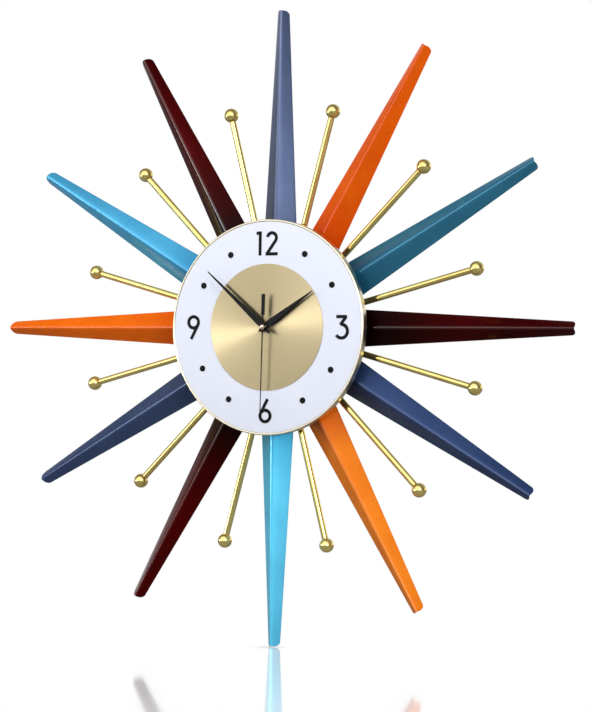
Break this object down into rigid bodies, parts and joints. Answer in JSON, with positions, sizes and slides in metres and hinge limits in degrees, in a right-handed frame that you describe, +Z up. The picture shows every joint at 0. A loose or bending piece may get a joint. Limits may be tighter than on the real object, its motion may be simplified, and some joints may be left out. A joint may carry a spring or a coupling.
{
  "type": "sunburst wall clock",
  "caption": "Sunburst wall clock: tapered folded metal rays and ball-ended brass rods round a numbered dial, driven by a quartz movement.",
  "frame": {"origin": "on the hands' axis, at the flat rear face of the movement, which is the plane of the wall", "axes": "the dial faces -Y, +Y goes into the wall, +Z is up towards 12 and +X towards 3"},
  "size_m": [0.65, 0.0457, 0.65],
  "materials": {
    "orange_lacquer": "gloss",
    "sky_lacquer": "metallic gloss",
    "red_lacquer": "gloss",
    "slate_lacquer": "satin gloss",
    "polished_brass": "polished",
    "black_powder_coat": "powder coat",
    "zinc_steel": "zinc plated",
    "black_rubber": "matt",
    "black_stained_board": "stained fibre board",
    "champagne_gold": "satin metallic",
    "white_enamel": "satin",
    "spun_gold": "spun satin",
    "black_print": "screen print",
    "turned_brass": "turned",
    "black_lacquer": "satin",
    "rose_brass": "polished",
    "black_abs": "fine texture",
    "white_nylon": "moulded",
    "dark_magnet": "ground",
    "motor_iron": "stamped",
    "copper_wire": "enamelled wire",
    "green_board": "solder mask",
    "battery_wrap": "printed sleeve, no lettering"
  },
  "bodies": {
    "clock": {"ray_01": "orange_lacquer", "ray_02": "sky_lacquer", "ray_03": "red_lacquer", "ray_04": "slate_lacquer", "ray_05": "orange_lacquer", "ray_06": "sky_lacquer", "ray_07": "red_lacquer", "ray_08": "slate_lacquer", "ray_09": "orange_lacquer", "ray_10": "sky_lacquer", "ray_11": "red_lacquer", "ray_12": "slate_lacquer", "rod_01": "polished_brass", "rod_02": "polished_brass", "rod_03": "polished_brass", "rod_04": "polished_brass", "rod_05": "polished_brass", "rod_06": "polished_brass", "rod_07": "polished_brass", "rod_08": "polished_brass", "rod_09": "polished_brass", "rod_10": "polished_brass", "rod_11": "polished_brass", "rod_12": "polished_brass", "ball_finials": "polished_brass", "hub_plate": "black_powder_coat", "hanger_plate": "zinc_steel", "hub_screws": "zinc_steel", "wall_pads": "black_rubber", "standoffs": "zinc_steel", "standoff_screws": "zinc_steel", "backing_board": "black_stained_board", "dial_pan": "champagne_gold", "dial_face": "white_enamel", "centre_disc": "spun_gold", "hour_marks": "black_print", "dial_nut": "turned_brass", "movement_case": "black_abs", "rear_cover": "black_abs", "train_bridge": "white_nylon", "centre_tube": "turned_brass", "rubber_washer": "black_rubber", "stator": "motor_iron", "coil": "copper_wire", "circuit_board": "green_board", "battery": "battery_wrap", "battery_contacts": "zinc_steel"},
    "hour": {"hour_hand": "black_lacquer", "hour_wheel": "white_nylon"},
    "minute": {"minute_hand": "black_lacquer", "cannon_pinion": "white_nylon"},
    "seconds": {"seconds_hand": "black_lacquer", "hand_cap": "rose_brass", "seconds_wheel": "white_nylon"},
    "centre_wheel": {"centre_wheel": "white_nylon"},
    "third_wheel": {"third_wheel": "white_nylon"},
    "intermediate_wheel": {"intermediate_wheel": "white_nylon"},
    "rotor": {"rotor": "dark_magnet"},
    "minute_wheel": {"minute_wheel": "white_nylon"},
    "set_knob": {"set_knob": "white_nylon"}
  },
  "joints": [
    {"name": "seconds_spin", "type": "hinge", "parent": "clock", "child": "seconds", "pos_m": [0, -0.042, 0], "axis": [0, 1, 0], "continuous": true},
    {"name": "minute_spin", "type": "hinge", "parent": "clock", "child": "minute", "pos_m": [0, -0.04, 0], "axis": [0, 1, 0], "continuous": true},
    {"name": "hour_spin", "type": "hinge", "parent": "clock", "child": "hour", "pos_m": [0, -0.038, 0], "axis": [0, 1, 0], "continuous": true},
    {"name": "centre_wheel_spin", "type": "hinge", "parent": "clock", "child": "centre_wheel", "pos_m": [0, -0.0072, 0], "axis": [0, 1, 0], "continuous": true},
    {"name": "third_wheel_spin", "type": "hinge", "parent": "clock", "child": "third_wheel", "pos_m": [-0.00958, -0.006, 0.00349], "axis": [0, 1, 0], "continuous": true},
    {"name": "intermediate_spin", "type": "hinge", "parent": "clock", "child": "intermediate_wheel", "pos_m": [0.0051, -0.004, 0.00883], "axis": [0, 1, 0], "continuous": true},
    {"name": "rotor_spin", "type": "hinge", "parent": "clock", "child": "rotor", "pos_m": [0.0028, -0.004, 0.01515], "axis": [0, 1, 0], "continuous": true},
    {"name": "minute_wheel_spin", "type": "hinge", "parent": "clock", "child": "minute_wheel", "pos_m": [0.01071, -0.011, 0.0039], "axis": [0, 1, 0], "continuous": true},
    {"name": "set_knob_spin", "type": "hinge", "parent": "clock", "child": "set_knob", "pos_m": [0.01877, -0.002, 0.01196], "axis": [0, 1, 0], "continuous": true}
  ],
  "couplings": [
    {"joint": "third_wheel_spin", "follows": "seconds_spin", "ratio": -0.13333},
    {"joint": "centre_wheel_spin", "follows": "seconds_spin", "ratio": 0.016667},
    {"joint": "intermediate_spin", "follows": "seconds_spin", "ratio": -6},
    {"joint": "rotor_spin", "follows": "seconds_spin", "ratio": 30},
    {"joint": "minute_wheel_spin", "follows": "minute_spin", "ratio": -0.33333},
    {"joint": "hour_spin", "follows": "minute_spin", "ratio": 0.083333},
    {"joint": "set_knob_spin", "follows": "minute_spin", "ratio": 1}
  ]
}
